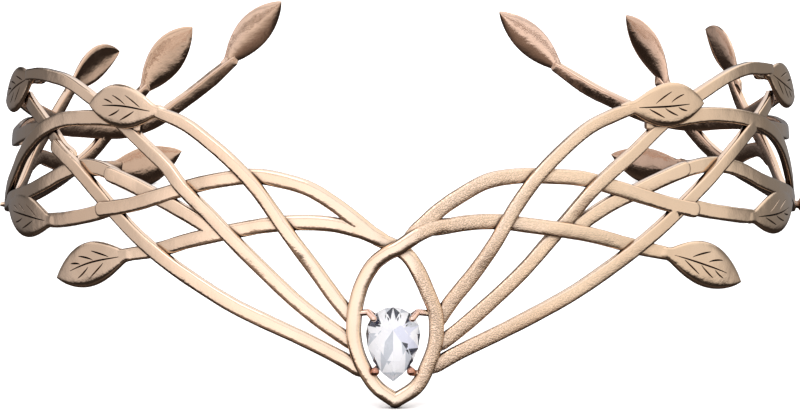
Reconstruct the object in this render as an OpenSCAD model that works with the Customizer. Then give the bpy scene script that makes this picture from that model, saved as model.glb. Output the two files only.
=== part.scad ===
// Leaf tiara: an open band of crossing strands and leaves, with a pear-cut stone in a pointed loop.
// The band is a leaning oval wall. Strands and leaves are laid out on that wall by their angle round
// from the front, in degrees, and their height above the surface that the tiara stands on.

/* [Band] */
// Half width of the band, side to side, at its middle height
band_rx = 79; // [70:0.5:88]
// Half depth of the band, front to back, at its middle height
band_ry = 84; // [76:0.5:92]
// Height at which the half sizes are taken
band_mid_z = 20; // [10:1:30]
// Inward lean of the wall toward the top, in degrees
band_lean = 5; // [0:0.5:8]
// Distance that the middle of the oval lies behind the origin
band_back_y = 4; // [0:0.5:6]

/* [Strands] */
// Width of the arms and arches at the front
front_w = 2.9; // [1.8:0.1:3.2]
// Width of the middle and top arms where they meet their leaves
arm_end_w = 2.5; // [1.8:0.1:3.2]
// Width of the strands at the sides
side_w = 3; // [2:0.1:3.6]
// Width of the strands at the back
back_w = 3.4; // [2:0.1:3.6]
// Width of the wire of the centre loop
loop_w = 2.8; // [2:0.1:3.2]
// Thickness of a strand, from its outer to its inner face
strand_t = 1.5; // [1.2:0.1:2]
// Thickness of the wire of the centre loop
loop_t = 1.9; // [1.5:0.1:2.4]

/* [Leaves] */
// Width of the four outer leaves on each side
outer_leaf_w = 8.4; // [6:0.2:10]
// Width of the four back leaves on each side
back_leaf_w = 7.8; // [5:0.2:9]
// Thickness of a leaf along its middle rib
leaf_t = 1.5; // [1.1:0.1:2]

/* [Stone] */
// Width of the pear stone
stone_w = 10; // [8:0.5:11]
// Length of the pear stone
stone_l = 14; // [12:0.5:15]
// Height of the crown above the girdle
crown_h = 2; // [1.4:0.1:2.6]
// Depth of the pavilion below the girdle
pavilion_h = 3.9; // [3:0.1:4.6]
// Gap between the stone and the metal round it
stone_gap = 0.08; // [0.05:0.01:0.2]

/* [Hidden] */

gold = "#dcb9a0";
clear = "#eef0f6";

// Left is seen from the front, where X is negative
left = -1;
right = 1;

// Rings of a strand's mesh to each of its rows: the front curves most
front_steps = 2;
back_steps = 1;
leaf_stations = [0, 0.16, 0.36, 0.58, 0.8, 1];

// Place of the stone's middle on the wall, and how far its girdle stands off the wall
stone_angle = -0.9;
stone_height = 12;
stone_lift = 0.6;

// Cut of the stone: girdle thickness, then heights and sizes of its facets' corners as parts of the whole
girdle_t = 0.3;
crown_break_z = crown_h * 0.62;
crown_break = 0.82;
table_size = 0.58;
pavilion_break_z = 0.6;
pavilion_break = 0.55;
culet_size = 0.04;

// Setting: rail under the edge, claws at two turns round the stone, and the loop's wire beside them
rail_r = 0.45;
rail_size = 0.86;
rail_z = -1.8;
claw_r = 0.5;
claw_reach = 0.5;
bead_r = 0.8;
upper_turn = 37;
lower_turn = -38;
wire_reach = 6.8;

// Strand rows: [angle round from the front, height, lift off the wall]. Heights and lifts are in mm.
// A positive lift stands outward, so where two strands cross the one with the higher lift lies over.

// Centre loop. Its angles are signed, negative to the left. The left wire comes over the crossing from
// the right arches, and the right wire comes under it from the left arches.
loop_left = [
    [7.4, 34, -0.2], [4.8, 33.8, 0.3], [2.4, 32.6, 0.9], [0, 30.4, 1], [-2, 28.8, 0.8], [-3.7, 26.6, 0.6],
    [-5.2, 22.6, 0.5], [-6, 17.6, 0.5], [-6, 12.6, 0.5], [-5, 8.2, 0.5], [-3, 4.4, 0.5], [-0.6, 1.4, 0.5]];
loop_right = [
    [-7, 33.5, -0.3], [-4.6, 32.6, 0], [-2.4, 31.2, 0], [-0.4, 29.8, -0.3], [1.2, 28.2, 0], [2.5, 25.4, 0.3],
    [3.7, 21.6, 0.5], [4.7, 17.6, 0.5], [4.7, 12.6, 0.5], [3.7, 8.2, 0.5], [1.85, 4.4, 0.5], [-0.6, 1.4, 0.5]];

// Low arm
low_arm_left = [
    [4.4, 6.2, 0], [8, 9.1, 0], [13, 12.2, 0], [18, 14.7, 0], [23, 17.1, 0], [28, 20, 0.1],
    [33, 23.2, 0.5], [38, 26.5, 0.5], [43, 29.9, 0.1], [47.6, 33.3, 0.2], [52.4, 36.5, 0.5], [57.2, 38.6, 0.7]];
low_arm_right = [
    [3.4, 6.8, 0], [8, 10.2, 0], [14, 13.7, 0], [19, 16.5, 0], [24, 19.3, 0], [29, 22.5, 0.1],
    [34, 25.9, 0.5], [38.6, 28.8, 0.4], [43.7, 32, 0.1], [48.7, 35.3, 0.4], [53.2, 38.2, 0.6],
    [58.4, 40.7, 0.5], [64.6, 42.4, 0], [70.5, 43.6, -0.6]];

// Middle arm, which rises to the top of the side
middle_arm_left = [
    [5.4, 11.2, 0], [9, 14.3, 0], [13.7, 18.8, 0], [18, 23.7, 0.2], [22.4, 28.9, 0.7], [26.4, 33.2, 0.5],
    [31, 37.9, 0.8], [34, 41.2, 0.4], [38, 44, 0], [41.8, 46.1, -0.6], [46, 48.5, -0.5], [50, 50.4, 0],
    [55, 51.7, 0.2], [60, 51.3, 0.2], [65, 50.2, 0.2], [69.5, 48.5, 0.3]];
middle_arm_right = [
    [4.4, 10.9, 0], [8, 14.5, 0], [12.2, 19.2, 0], [16.5, 24.1, -0.1], [20.6, 29.2, -0.5], [23.6, 33.4, 0],
    [26.8, 38, 0.8], [30.2, 41, 0.6], [34.2, 43.6, 0], [38.4, 46.5, -0.5], [42.6, 49, -0.6],
    [47, 51.3, 0], [54, 53, 0.2], [60, 52.8, 0.2], [65, 51.2, 0.2], [69, 49.8, 0.3]];

// Top arm, which carries the first leaf
top_arm_left = [
    [5.6, 15.4, 0], [8.3, 19.6, 0], [11.4, 25.2, 0.1], [14.4, 30.6, 0.7], [17.3, 35.5, 0.5], [20, 40, 0.7],
    [23.4, 44, 0.7], [27, 47, 0.4], [31.4, 49.8, 0.2], [37, 51.2, 0.2]];
top_arm_right = [
    [4.4, 14.8, 0], [6.9, 19.8, 0], [10, 24.9, 0.1], [12.8, 30.4, 0.7], [15.6, 36.4, 0.6],
    [18.9, 42, 0.8], [22.8, 46.4, 0.5], [27, 49.8, 0.2], [31, 51.4, 0.2], [35, 52.2, 0.2]];

// Upper arch
upper_arch_left = [
    [0.6, 30.6, 0], [3.2, 32, 0.2], [6, 34.9, 0.1], [9, 37.8, 0], [12.6, 40.4, 0], [17, 41.5, -0.4],
    [21, 41.6, -0.4], [26, 40.1, 0], [30.4, 38, -0.3], [35, 35.4, 0.1], [40, 32.5, 0.2], [45.6, 30.1, 0.6]];
upper_arch_right = [
    [0.4, 31.4, 0.4], [2.8, 33.9, 0.5], [5.2, 36.7, 0.1], [8, 39.2, 0], [12, 41.8, 0], [16.5, 42.3, -0.2],
    [21, 41.6, -0.4], [26, 40.4, -0.2], [31, 37.8, 0], [36, 34.9, 0.1], [40.4, 32.4, 0.2], [44.6, 30.3, 0.6]];

// Lower arch, which carries the last of the front leaves
lower_arch_left = [
    [3.4, 31.8, 0.2], [6.4, 33.3, 0], [10, 34, -0.2], [14.4, 33.7, -0.5], [18.6, 32.8, -0.2],
    [22, 31.5, -0.4], [26, 29.9, 0], [30.4, 27.8, -0.1], [35, 25.1, -0.4], [41.6, 22.3, 0.2]];
lower_arch_right = [
    [3.4, 32.6, 0.3], [6.4, 33.8, 0.1], [9.8, 34.3, 0], [13.6, 34, -0.4], [17.4, 33.1, 0.2],
    [20.6, 32.2, 0.6], [24, 31, 0.5], [28, 29.2, 0.1], [34, 25.9, -0.4], [41, 22.5, 0.2]];

// Tie strand, from the lower arch to a round end on the side strand
tie_left = [
    [25.4, 30.2, 0], [29.4, 32.4, 0], [34, 34.3, -0.2], [38.6, 35.7, -0.3], [42, 36.7, 0.2], [44, 37.2, 0.6]];
tie_right = [
    [24, 30.9, 0], [27, 33.2, 0], [30.6, 35, -0.2], [35, 36.3, -0.3], [39, 37.6, 0.2], [43, 38.5, 0.6]];

// Side strand, from under the tie down to the low joint of the side
side_strand_left = [
    [42.6, 36.6, -0.5], [46.6, 37.3, -0.5], [50, 36.8, -0.5], [53, 35.6, -0.6], [56.4, 33.4, -0.3],
    [60.2, 30.5, 0], [65, 27.2, 0], [70, 24.3, 0], [75, 21.6, 0], [80, 19, -0.3], [86, 16.4, -0.5]];
side_strand_right = [
    [40.6, 37.6, -0.5], [45.4, 37.9, -0.5], [50, 37.3, -0.6], [54, 35.7, -0.4], [58, 33.3, -0.2],
    [62.4, 30.1, 0], [67, 27.3, 0], [72, 24.5, 0], [77, 21.6, 0], [81.6, 18.6, -0.3], [86, 16.4, -0.5]];

// Stem of the leaf that lies low at the side
leaf_stem_left = [[43.2, 31.2, -0.5], [48, 28.3, -0.3], [52, 26.3, 0], [56, 24.5, 0], [61, 22.8, 0]];
leaf_stem_right = [[43.2, 31.5, -0.5], [48, 29, -0.3], [52, 27.2, 0], [56, 25.4, 0], [61, 23.4, 0]];

// Long strand of the side, from under the first leaf over the top and down to the low joint
long_strand_left = [
    [39.4, 47.2, -0.6], [43, 47.6, -0.6], [47.4, 47, -0.2], [52, 45.7, 0], [57, 43.7, 0.1],
    [62, 40.2, 0.5], [66.4, 36, 0.5], [70.4, 31.9, 0.2], [74.2, 27.3, 0], [78, 22.8, 0], [82, 19, -0.3],
    [87, 16, -0.5]];
long_strand_right = [
    [37, 48.2, -0.6], [42, 48, -0.6], [48, 47.4, -0.2], [54, 45.6, 0], [59, 43.4, 0.3],
    [64, 40.6, 0.5], [69, 36.9, 0.3], [73.6, 32.6, 0], [77.2, 28.2, -0.2], [80.4, 23.6, -0.3], [83.4, 19.4, -0.5],
    [87, 16, -0.5]];

// Short strand that meets the last front leaf of the top, left side only
short_strand = [
    [53.2, 37.2, -0.5], [56.3, 38.2, -0.3], [58.8, 39.6, -0.4], [62, 40.8, -0.6], [66.4, 42.2, -0.5],
    [71, 43.2, -0.5]];

// Run of the middle arm behind the leaf of the peak and round the side
peak_run_left = [
    [64, 49.9, -0.4], [70, 48, -0.6], [77, 44.8, -0.4], [84, 41, 0], [91, 37, 0], [98, 33, 0],
    [104, 29, 0], [110, 25, 0], [117, 20.4, 0]];
peak_run_right = [
    [64, 50.8, -0.4], [70, 48.8, -0.6], [77, 45.4, -0.4], [84, 41.6, 0], [91, 37.8, 0], [98, 34, 0],
    [104, 30.2, 0], [110, 26, 0], [117, 21, 0]];

// First back strand, which carries the tallest leaf
first_back_left = [
    [62, 40.6, -0.5], [69, 37.4, -0.8], [78, 32.8, -1.1], [87, 29, -1.1], [96, 26.6, -0.4],
    [104, 25.2, 0], [112, 21.8, 0], [120, 18.2, 0], [127, 15.5, 0], [132.6, 13.9, 0], [138, 14.4, 0],
    [143, 17.1, 0], [148, 20.8, 0], [152.4, 24.9, 0]];
first_back_right = [
    [62, 41.4, -0.5], [69, 38, -0.9], [78, 34, -0.8], [87, 30.4, -0.8], [96, 27.8, -0.4],
    [104, 25.6, 0], [112, 22.8, 0], [120, 19.9, 0], [127, 17.2, 0], [133, 15.8, 0], [138.6, 15.9, 0],
    [144, 17.4, 0], [149, 19.5, 0], [154.4, 23.2, 0]];

// Second back strand
second_back_left = [
    [84, 17.2, -0.4], [91, 13.6, -0.4], [98, 11, 0], [105, 9.2, 0], [112, 8.4, 0], [118, 9, 0],
    [124.2, 11.2, 0], [128.6, 14.9, 0], [132.4, 18.6, 0], [136, 22.4, 0]];
second_back_right = [
    [84, 17.2, -0.4], [91, 13.6, -0.4], [98, 11.8, 0], [105, 10.6, 0], [112, 10.2, 0], [118.6, 10.6, 0],
    [124.2, 12.3, 0], [128.8, 15.9, 0], [131.4, 20, 0], [135, 24.2, 0]];

// Third back strand
third_back_left = [
    [85, 16.4, -0.6], [91, 13.9, -0.5], [97, 12.6, 0], [101.4, 13.3, 0], [105, 16, 0], [109.4, 19.8, 0],
    [114, 23.5, 0], [118.6, 28.2, 0]];
third_back_right = [
    [85, 16.4, -0.6], [91, 13.9, -0.5], [96.6, 12.8, 0], [100.6, 13.9, 0], [104, 16.8, 0], [109, 20.6, 0],
    [114.4, 25.2, 0], [117.4, 30.4, 0]];

// Fourth back strand, which carries the leaf that rests on the table
fourth_back_left = [
    [104.4, 15.8, 0], [108.6, 16.4, 0], [113, 14, 0], [118.4, 10.5, 0], [124.4, 7.9, 0], [131, 6.2, 0]];
fourth_back_right = [
    [104.4, 16.8, 0], [108.6, 17.9, 0], [113, 16, 0], [118.4, 12.2, 0], [124.4, 8.8, 0], [131, 6.2, 0]];

// Stub that stands out from the low joint of each side: [lift off the wall, radius]
stub_angle = 90;
stub_height = 14;
stub_right = [[-0.4, 0.8], [0.9, 0.8], [1.3, 1.3], [1.8, 1.4]];
stub_left = [[-0.4, 0.6], [0.7, 0.5], [1.3, 0.4]];

// Leaf rows: [base angle, base height, tip angle, tip height, upward bow, lift, more lift at the tip,
// width as a part of its kind's]
outer_leaves_left = [
    [35.6, 51.2, 49.2, 49.2, 0.5, 0.7, 0, 1],
    [68, 48.7, 80.5, 39.2, 0, 0.2, 1.2, 1],
    [57.4, 23.8, 76, 19.6, -0.2, 0.4, 0, 1],
    [40, 22.9, 55, 13.6, 0.6, 0.5, 0, 1]];
outer_leaves_right = [
    [33.6, 52.4, 47.7, 49.9, 0.3, 0.7, 0, 1],
    [67.5, 49.7, 80.5, 40.1, 0, 0.4, 1.2, 1],
    [58.4, 24.2, 77.2, 19.7, -0.2, 0.4, 0, 1],
    [38.8, 23.6, 54.4, 13, 0.8, 0.5, 0, 1]];
back_leaves_left = [
    [151, 24.2, 160.5, 37.3, 0.3, 0, 0, 1],
    [135.2, 21.4, 144.8, 34.1, 0.4, 0, 0, 1.14],
    [117.8, 27.8, 130, 32.3, 1, 0, 0, 1.02],
    [129, 6.8, 143.6, 6.1, -2.07, 0, 0, 1.15]];
back_leaves_right = [
    [153.4, 22.5, 163.8, 34.6, 0, 0, 0, 0.9],
    [133.2, 23.4, 141.2, 37.5, 1, 0, 0, 0.96],
    [115.4, 29.8, 123.6, 39.2, 1.5, 0, 0, 1.06],
    [131, 6.8, 145, 5, -1.8, 0, 0, 1.05]];

function unit(v) = v / norm(v);

// Place on the band's wall, and the direction that is outward there
function wall(angle, height, lift) =
    let (draw = tan(band_lean) * (height - band_mid_z) - lift)
    [(band_rx - draw) * sin(angle), band_back_y - (band_ry - draw) * cos(angle), height];
function outward(angle) =
    let (flat = unit([band_ry * sin(angle), -band_rx * cos(angle), 0]))
    flat * cos(band_lean) + [0, 0, sin(band_lean)];

// Smooth curve through rows of numbers
function between(a, b, c, d, t) =
    0.5 * (2 * b + (c - a) * t + (2 * a - 5 * b + 4 * c - d) * t * t + (3 * b - a - 3 * c + d) * t * t * t);
function smooth(rows, steps) =
    let (last = len(rows) - 1)
    concat(
        [for (i = [0:last - 1], k = [0:steps - 1])
            between(i == 0 ? 2 * rows[0] - rows[1] : rows[i - 1], rows[i], rows[i + 1],
                i + 1 == last ? 2 * rows[last] - rows[last - 1] : rows[i + 2], k / steps)],
        [rows[last]]);

// Sections, as parts of the half width across and of the half thickness outward
strand_section = [[1, 0], [0.55, 1], [-0.55, 1], [-1, 0], [-0.55, -1], [0.55, -1]];
leaf_section = [
    [1, 0], [0.5, 0.7], [0, 1], [-0.5, 0.7], [-1, 0], [-0.7, -0.9], [0.7, -0.9]];

// Solid that carries a section along the points, with a half width and a half thickness at each point
module sweep(points, normals, section, half_w, half_t) {
    last = len(points) - 1;
    n = len(section);
    rings = [for (i = [0:last])
        let (
            along = unit(points[min(i + 1, last)] - points[max(i - 1, 0)]),
            out = unit(normals[i] - (normals[i] * along) * along),
            across = cross(along, out)
        )
        for (s = section) points[i] + across * s.x * half_w[i] + out * s.y * half_t[i]];
    sides = [for (i = [0:last - 1], k = [0:n - 1])
        let (a = i * n + k, b = i * n + (k + 1) % n)
        each [[a, b, b + n], [a, b + n, a + n]]];
    first_cap = [for (k = [1:n - 2]) [0, k + 1, k]];
    last_cap = [for (k = [1:n - 2]) [last * n, last * n + k, last * n + k + 1]];
    polyhedron(rings, concat(sides, first_cap, last_cap));
}

// Strand along its rows. A round end closes the last of them in an arc.
module strand(rows, side, w_start, w_end, thick = strand_t, round_end = false, steps = front_steps) {
    path = smooth(rows, steps);
    last = len(path) - 1;
    points = [for (r = path) wall(side * r.x, r.y, r.z)];
    normals = [for (r = path) outward(side * r.x)];
    widths = [for (i = [0:last]) (w_start + (w_end - w_start) * i / last) / 2];
    heading = unit(points[last] - points[last - 1]);
    arc = [[0.6, 0.8], [0.95, 0.35]];
    extra = round_end ? arc : [];
    sweep(
        concat(points, [for (e = extra) points[last] + heading * e.x * w_end / 2]),
        concat(normals, [for (e = extra) normals[last]]),
        strand_section,
        concat(widths, [for (e = extra) e.y * w_end / 2]),
        concat([for (r = path) thick / 2], [for (e = extra) (e.y + 1) * thick / 4]));
}

// Leaf from its base to its tip, widest a little past the middle, with a middle rib
module leaf(row, side, width) {
    stem = 0.36;
    point = 0.03;
    path = [for (u = leaf_stations) [
        row[0] + (row[2] - row[0]) * u, row[1] + (row[3] - row[1]) * u + row[4] * sin(180 * u),
        row[5] + row[6] * u]];
    fullness = [for (u = leaf_stations)
        max(stem * (1 - u), pow(sin(180 * pow(u, 1.03)), 0.75), point)];
    sweep(
        [for (r = path) wall(side * r.x, r.y, r.z)],
        [for (r = path) outward(side * r.x)],
        leaf_section,
        [for (f = fullness) f * row[7] * width / 2],
        [for (f = fullness) (0.35 + 0.65 * f) * leaf_t / 2]);
}

// Short round stub, square to the wall
module stub(rows, side) {
    sweep(
        [for (r = rows) wall(side * stub_angle, stub_height, r[0])],
        [for (r = rows) [0, 0, 1]],
        strand_section, [for (r = rows) r[1]], [for (r = rows) r[1]]);
}

module centre_loop() {
    color(gold) {
        strand(loop_left, right, loop_w, loop_w, loop_t, true);
        strand(loop_right, right, loop_w, loop_w, loop_t, true);
    }
}

module front_casting(side) {
    is_left = side == left;
    color(gold) {
        strand(is_left ? low_arm_left : low_arm_right, side, front_w, front_w, strand_t, is_left);
        strand(is_left ? middle_arm_left : middle_arm_right, side, front_w, arm_end_w);
        strand(is_left ? top_arm_left : top_arm_right, side, front_w, arm_end_w);
        strand(is_left ? upper_arch_left : upper_arch_right, side, front_w, front_w, strand_t, true);
        strand(is_left ? lower_arch_left : lower_arch_right, side, front_w, front_w);
        strand(is_left ? tie_left : tie_right, side, side_w, side_w, strand_t, true);
    }
}

module side_casting(side) {
    is_left = side == left;
    color(gold) {
        strand(is_left ? side_strand_left : side_strand_right, side, front_w, side_w, steps = back_steps);
        strand(is_left ? leaf_stem_left : leaf_stem_right, side, front_w, front_w, steps = back_steps);
        strand(is_left ? long_strand_left : long_strand_right, side, front_w, side_w, steps = back_steps);
        if (is_left) strand(short_strand, side, front_w, side_w, steps = back_steps);
        strand(is_left ? peak_run_left : peak_run_right, side, side_w, side_w, steps = back_steps);
        stub(is_left ? stub_left : stub_right, side);
    }
}

module back_casting(side) {
    is_left = side == left;
    color(gold) {
        strand(is_left ? first_back_left : first_back_right, side, side_w, back_w, steps = back_steps);
        strand(is_left ? second_back_left : second_back_right, side, side_w, back_w, steps = back_steps);
        strand(is_left ? third_back_left : third_back_right, side, side_w, back_w, steps = back_steps);
        strand(is_left ? fourth_back_left : fourth_back_right, side, side_w, back_w, steps = back_steps);
    }
}

module leaves(side) {
    is_left = side == left;
    color(gold) {
        for (row = is_left ? outer_leaves_left : outer_leaves_right) leaf(row, side, outer_leaf_w);
        for (row = is_left ? back_leaves_left : back_leaves_right) leaf(row, side, back_leaf_w);
    }
}

// The stone's own axes: X across, Y up the wall, Z outward from the middle of its girdle
module at_stone() {
    translate(wall(stone_angle, stone_height, stone_lift)) rotate([90 - band_lean, 0, 0]) children();
}

// Pear outline, point down: a half circle above, two longer arcs below that meet in the point.
// edge() is a place on its right side: an angle up the half circle, or minus a turn down the long arc.
round_r = stone_w / 2;
round_y = stone_l / 2 - round_r;
drop = stone_l - round_r;
flank_r = (round_r * round_r + drop * drop) / (2 * round_r);
flank_turn = asin(drop / flank_r);
function edge(turn) =
    turn >= 0 ? [round_r * cos(turn), round_y + round_r * sin(turn)]
    : [flank_r * cos(turn) - (flank_r - round_r), round_y + flank_r * sin(turn)];
half_pear = concat([for (k = [0:3]) edge(67.5 - 22.5 * k)], [for (k = [1:3]) edge(-k * flank_turn / 4)]);
pear = concat(
    [edge(90)], half_pear, [edge(-flank_turn)],
    [for (k = [len(half_pear) - 1:-1:0]) [-half_pear[k].x, half_pear[k].y]]);

// Thin slice of the stone at a height, scaled about its middle. A step of 2 takes every second corner.
module slice(height, size, first, step) {
    middle = [0, round_y / 2];
    corners = [for (k = [first:step:len(pear) - 1]) middle + (pear[k] - middle) * size];
    translate([0, 0, height]) linear_extrude(0.02) polygon(corners);
}

module pear_stone() {
    color(clear) at_stone() hull() {
        slice(-girdle_t / 2, 1, 0, 1);
        slice(girdle_t / 2, 1, 0, 1);
        slice(crown_break_z, crown_break, 1, 2);
        slice(crown_h, table_size, 0, 2);
        slice(-pavilion_h * pavilion_break_z, pavilion_break, 1, 2);
        slice(-pavilion_h, culet_size, 0, 2);
    }
}

module ball(place, r) {
    translate(place) sphere(r, $fn = 8);
}
module bar(from, from_r, to, to_r) {
    hull() {
        ball(from, from_r);
        ball(to, to_r);
    }
}

// Place at a distance out from the stone's edge, square to it, at a height over the girdle
function beside(side, turn, out, z) =
    let (p = edge(turn) + out * [cos(turn), sin(turn)]) [side * p.x, p.y, z];

// Rail under the stone's edge, and four claws that stand between it and the loop. The upper claws reach
// in over the crown, and the lower ones end in a ball against the stone's edge.
module setting() {
    crown_slope = atan((crown_break_z - girdle_t / 2) / ((1 - crown_break) * round_r));
    upper_z = girdle_t / 2 + claw_reach * tan(crown_slope) + (claw_r + stone_gap) / cos(crown_slope);
    lower_z = 0.7;
    lower_out = sqrt(pow(bead_r + stone_gap, 2) - pow(lower_z - girdle_t / 2, 2));
    rail = [for (p = concat(pear, [pear[0]])) [p.x * rail_size, p.y * rail_size, rail_z]];
    color(gold) at_stone() {
        sizes = [for (p = rail) rail_r];
        sweep(rail, [for (p = rail) [0, 0, 1]], strand_section, sizes, sizes);
        for (side = [left, right]) {
            upper = beside(side, upper_turn, 1.1, 0);
            lower = beside(side, lower_turn, 1.4, 0);
            bar([side * wire_reach, upper.y + 0.2, -0.4], claw_r, upper, claw_r);
            bar(upper, claw_r, beside(side, upper_turn, -claw_reach, upper_z), claw_r);
            bar(upper, claw_r, beside(side, upper_turn, -0.8, rail_z), rail_r);
            bar([side * (wire_reach - 1.4), lower.y - 0.2, -0.2], claw_r, lower, claw_r);
            bar(lower, claw_r, beside(side, lower_turn, lower_out, lower_z), bead_r);
            bar(lower, claw_r, beside(side, lower_turn, -0.8, rail_z), rail_r);
        }
    }
}

module leaf_frame() {
    centre_loop();
    setting();
    for (side = [left, right]) {
        front_casting(side);
        side_casting(side);
        back_casting(side);
        leaves(side);
    }
}

leaf_frame();
pear_stone();
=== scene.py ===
"""Looks of the leaf tiara: its soldered metal at full fineness, its cut stone, and a small studio.

Lengths in the tables are in millimetres and angles in degrees. Strands and leaves are laid out on the
band's leaning oval wall, by their angle round from the front and their height over the table.
"""

import math

import bmesh
import bpy
import numpy as np
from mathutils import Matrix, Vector


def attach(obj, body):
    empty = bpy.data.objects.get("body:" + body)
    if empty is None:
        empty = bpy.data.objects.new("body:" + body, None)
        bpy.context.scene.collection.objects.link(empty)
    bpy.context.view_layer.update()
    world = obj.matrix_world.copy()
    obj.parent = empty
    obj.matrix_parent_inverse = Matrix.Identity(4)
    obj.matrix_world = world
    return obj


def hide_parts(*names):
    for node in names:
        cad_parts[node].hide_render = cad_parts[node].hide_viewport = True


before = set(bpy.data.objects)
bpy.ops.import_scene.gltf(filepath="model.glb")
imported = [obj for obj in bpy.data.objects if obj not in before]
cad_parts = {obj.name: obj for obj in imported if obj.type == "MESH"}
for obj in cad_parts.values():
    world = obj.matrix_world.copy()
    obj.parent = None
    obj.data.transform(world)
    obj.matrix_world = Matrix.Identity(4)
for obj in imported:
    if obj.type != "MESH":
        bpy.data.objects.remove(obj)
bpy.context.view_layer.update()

MM = 0.001
LEFT, RIGHT = -1, 1
# In metres: the least height of the metal over the floor, and the distance within which vertices are merged
FLOOR_CLEARANCE = 0.00002
WELD_REACH = 1e-7
# Edges of the metal that turn by more than this are shaded sharp
SHARP_ANGLE = 38
rng = np.random.default_rng(11)

# The band's wall: half sizes at its middle height, its inward lean, and how far back its middle lies
BAND_RX, BAND_RY, BAND_MID_Z = 79, 84, 20
BAND_LEAN = math.radians(5)
BAND_BACK_Y = 4

# Widths and thicknesses of the metal. At its neck a strand runs out into its leaf.
FRONT_W, ARM_END_W, SIDE_W, BACK_W, LOOP_W, NECK_W = 2.9, 2.5, 3, 3.4, 2.8, 2.4
STRAND_T, LOOP_T = 1.5, 1.9
OUTER_LEAF_W, BACK_LEAF_W, LEAF_T = 8.4, 7.8, 1.5

# Strand rows: (angle round from the front, height, lift off the wall). A positive lift stands outward.
LOOP_LEFT = [
    (7.4, 34, -0.2), (4.8, 33.8, 0.3), (2.4, 32.6, 0.9), (0, 30.4, 1), (-2, 28.8, 0.8), (-3.7, 26.6, 0.6),
    (-5.2, 22.6, 0.5), (-6, 17.6, 0.5), (-6, 12.6, 0.5), (-5, 8.2, 0.5), (-3.1, 4, 0.5), (-0.6, 1.4, 0.5)]
LOOP_RIGHT = [
    (-7, 33.5, -0.3), (-4.6, 32.6, 0), (-2.4, 31.2, 0), (-0.4, 29.8, -0.3), (1.2, 28.2, 0),
    (2.5, 25.4, 0.3), (3.7, 21.6, 0.5), (4.7, 17.6, 0.5), (4.7, 12.6, 0.5), (3.7, 8.2, 0.5),
    (2.2, 4.1, 0.5), (-0.6, 1.4, 0.5)]
LOW_ARM = {
    LEFT: [
        (4.4, 6.2, 0), (8, 9.1, 0), (13, 12.2, 0), (18, 14.7, 0), (23, 17.1, 0), (28, 20, 0.1),
        (33, 23.2, 0.5), (38, 26.5, 0.5), (43, 29.9, 0.1), (47.6, 33.3, 0.2), (52.4, 36.5, 0.5),
        (57.2, 38.6, 0.7)],
    RIGHT: [
        (3.4, 6.8, 0), (8, 10.2, 0), (14, 13.7, 0), (19, 16.5, 0), (24, 19.3, 0), (29, 22.5, 0.1),
        (34, 25.9, 0.5), (38.6, 28.8, 0.4), (43.7, 32, 0.1), (48.7, 35.3, 0.4), (53.2, 38.2, 0.6),
        (58.4, 40.7, 0.5), (64.6, 42.4, 0), (70.5, 43.6, -0.6)]}
MIDDLE_ARM = {
    LEFT: [
        (5.4, 11.2, 0), (9, 14.3, 0), (13.7, 18.8, 0), (18, 23.7, 0.2), (22.4, 28.9, 0.7),
        (26.4, 33.2, 0.5), (31, 37.9, 0.8), (34, 41.2, 0.4), (38, 44, 0), (41.8, 46.1, -0.6),
        (46, 48.5, -0.5), (50, 50.4, 0), (55, 51.7, 0.2), (60, 51.3, 0.2), (65, 50.2, 0.2),
        (69.5, 48.5, 0.3)],
    RIGHT: [
        (4.4, 10.9, 0), (8, 14.5, 0), (12.2, 19.2, 0), (16.5, 24.1, -0.1), (20.6, 29.2, -0.5),
        (23.6, 33.4, 0), (26.8, 38, 0.8), (30.2, 41, 0.6), (34.2, 43.6, 0), (38.4, 46.5, -0.5),
        (42.6, 49, -0.6), (47, 51.3, 0), (54, 53, 0.2), (60, 52.8, 0.2), (65, 51.2, 0.2), (69, 49.8, 0.3)]}
TOP_ARM = {
    LEFT: [
        (5.6, 15.4, 0), (8.3, 19.6, 0), (11.4, 25.2, 0.1), (14.4, 30.6, 0.7), (17.3, 35.5, 0.5),
        (20, 40, 0.7), (23.4, 44, 0.7), (27, 47, 0.4), (31.4, 49.8, 0.2), (37, 51.2, 0.2)],
    RIGHT: [
        (4.4, 14.8, 0), (6.9, 19.8, 0), (10, 24.9, 0.1), (12.8, 30.4, 0.7), (15.6, 36.4, 0.6),
        (18.9, 42, 0.8), (22.8, 46.4, 0.5), (27, 49.8, 0.2), (31, 51.4, 0.2), (35, 52.2, 0.2)]}
UPPER_ARCH = {
    LEFT: [
        (0.6, 30.6, 0), (3.2, 32, 0.2), (6, 34.9, 0.1), (9, 37.8, 0), (12.6, 40.4, 0), (17, 41.5, -0.4),
        (21, 41.6, -0.4), (26, 40.1, 0), (30.4, 38, -0.3), (35, 35.4, 0.1), (40, 32.5, 0.2),
        (45.6, 30.1, 0.6)],
    RIGHT: [
        (0.4, 31.4, 0.4), (2.8, 33.9, 0.5), (5.2, 36.7, 0.1), (8, 39.2, 0), (12, 41.8, 0),
        (16.5, 42.3, -0.2), (21, 41.6, -0.4), (26, 40.4, -0.2), (31, 37.8, 0), (36, 34.9, 0.1),
        (40.4, 32.4, 0.2), (44.6, 30.3, 0.6)]}
LOWER_ARCH = {
    LEFT: [
        (3.4, 31.8, 0.2), (6.4, 33.3, 0), (10, 34, -0.2), (14.4, 33.7, -0.5), (18.6, 32.8, -0.2),
        (22, 31.5, -0.4), (26, 29.9, 0), (30.4, 27.8, -0.1), (35, 25.1, -0.4), (41.6, 22.3, 0.2)],
    RIGHT: [
        (3.4, 32.6, 0.3), (6.4, 33.8, 0.1), (9.8, 34.3, 0), (13.6, 34, -0.4), (17.4, 33.1, 0.2),
        (20.6, 32.2, 0.6), (24, 31, 0.5), (28, 29.2, 0.1), (34, 25.9, -0.4), (41, 22.5, 0.2)]}
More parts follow.
